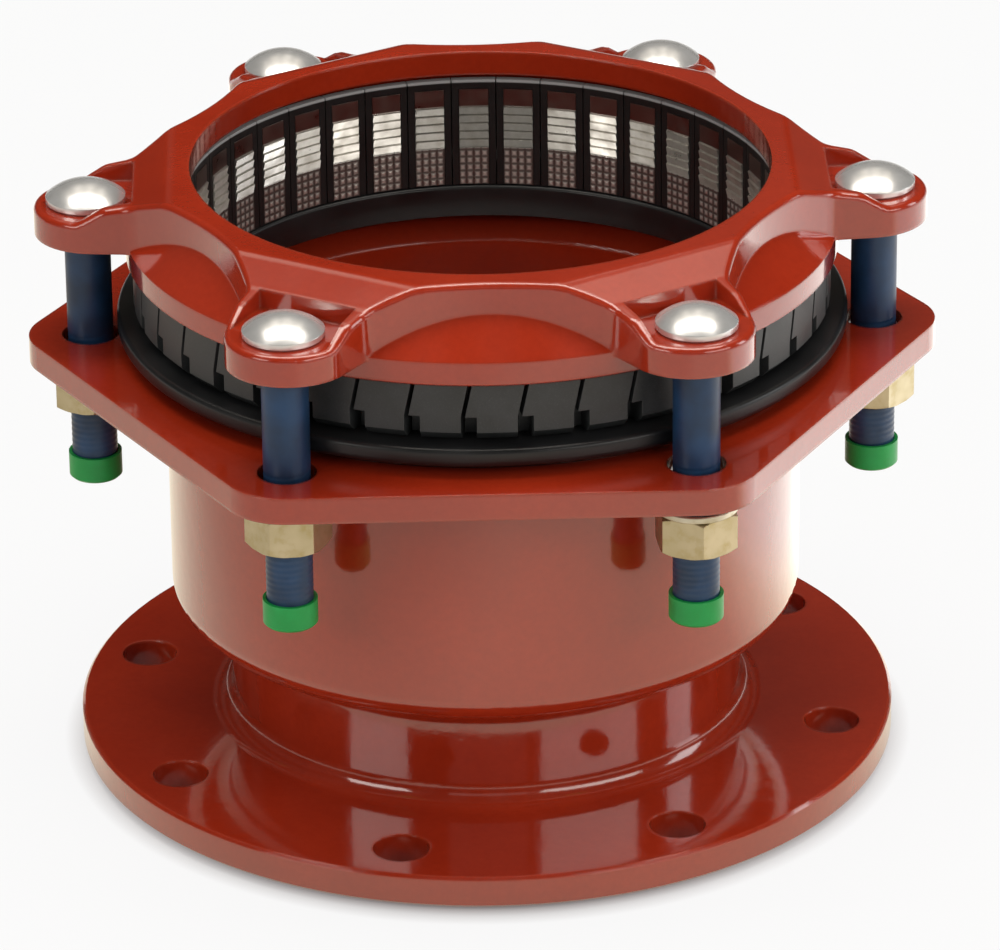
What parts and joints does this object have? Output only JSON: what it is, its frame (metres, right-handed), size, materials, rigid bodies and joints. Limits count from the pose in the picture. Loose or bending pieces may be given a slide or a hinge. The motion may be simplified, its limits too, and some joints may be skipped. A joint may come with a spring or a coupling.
{
  "type": "flange adapter",
  "caption": "Restrained pipe adapter: a round bolting flange and barrel below, and a lobed ring on long bolts that presses toothed gripper segments and a rubber seal onto a pipe.",
  "frame": {"origin": "centre of the flange's raised sealing face, which stands on the ground", "axes": "+Z along the pipe axis, out of the pipe socket; +X 1.37 degrees short of the first clamping bolt"},
  "size_m": [0.372, 0.3398, 0.2563],
  "materials": {
    "red_coating": "glossy fusion-bonded epoxy powder coating on ductile iron",
    "black_rubber": "smooth moulded black rubber",
    "grey_nylon": "dark grey glass-filled nylon",
    "toothed_steel": "plain machined steel with cut teeth",
    "bolt_coating": "dark blue fluoropolymer coating on the shank, bright plated head",
    "plated_steel": "yellow-passivated zinc plating",
    "green_plastic": "soft moulded green plastic"
  },
  "bodies": {
    "body": {"flange_body": "red_coating", "gasket": "black_rubber", "washer_1": "plated_steel", "washer_2": "plated_steel", "washer_3": "plated_steel", "washer_4": "plated_steel", "washer_5": "plated_steel", "washer_6": "plated_steel"},
    "clamp": {"end_ring": "red_coating", "gripper_segments": "grey_nylon", "gripper_inserts": "toothed_steel", "bolt_1": "bolt_coating", "bolt_2": "bolt_coating", "bolt_3": "bolt_coating", "bolt_4": "bolt_coating", "bolt_5": "bolt_coating", "bolt_6": "bolt_coating", "end_cap_1": "green_plastic", "end_cap_2": "green_plastic", "end_cap_3": "green_plastic", "end_cap_4": "green_plastic", "end_cap_5": "green_plastic", "end_cap_6": "green_plastic"},
    "nut_1": {"nut_1": "plated_steel"},
    "nut_2": {"nut_2": "plated_steel"},
    "nut_3": {"nut_3": "plated_steel"},
    "nut_4": {"nut_4": "plated_steel"},
    "nut_5": {"nut_5": "plated_steel"},
    "nut_6": {"nut_6": "plated_steel"}
  },
  "joints": [
    {"name": "clamp_travel", "type": "slide", "parent": "body", "child": "clamp", "axis": [0, 0, -1], "range_m": [0, 0.01], "deforming": ["gasket"]},
    {"name": "nut_1_turn", "type": "hinge", "parent": "body", "child": "nut_1", "pos_m": [0.16065, 0.00384, 0.16], "axis": [0, 0, 1], "range_deg": [0, 1440]},
    {"name": "nut_2_turn", "type": "hinge", "parent": "body", "child": "nut_2", "pos_m": [0.077, 0.14105, 0.16], "axis": [0, 0, 1], "range_deg": [0, 1440]},
    {"name": "nut_3_turn", "type": "hinge", "parent": "body", "child": "nut_3", "pos_m": [-0.08365, 0.13721, 0.16], "axis": [0, 0, 1], "range_deg": [0, 1440]},
    {"name": "nut_4_turn", "type": "hinge", "parent": "body", "child": "nut_4", "pos_m": [-0.16065, -0.00384, 0.16], "axis": [0, 0, 1], "range_deg": [0, 1440]},
    {"name": "nut_5_turn", "type": "hinge", "parent": "body", "child": "nut_5", "pos_m": [-0.077, -0.14105, 0.16], "axis": [0, 0, 1], "range_deg": [0, 1440]},
    {"name": "nut_6_turn", "type": "hinge", "parent": "body", "child": "nut_6", "pos_m": [0.08365, -0.13721, 0.16], "axis": [0, 0, 1], "range_deg": [0, 1440]}
  ],
  "couplings": [
    {"joint": "nut_1_turn", "follows": "clamp_travel", "rad_per_m": 2513.3},
    {"joint": "nut_2_turn", "follows": "clamp_travel", "rad_per_m": 2513.3},
    {"joint": "nut_3_turn", "follows": "clamp_travel", "rad_per_m": 2513.3},
    {"joint": "nut_4_turn", "follows": "clamp_travel", "rad_per_m": 2513.3},
    {"joint": "nut_5_turn", "follows": "clamp_travel", "rad_per_m": 2513.3},
    {"joint": "nut_6_turn", "follows": "clamp_travel", "rad_per_m": 2513.3}
  ]
}
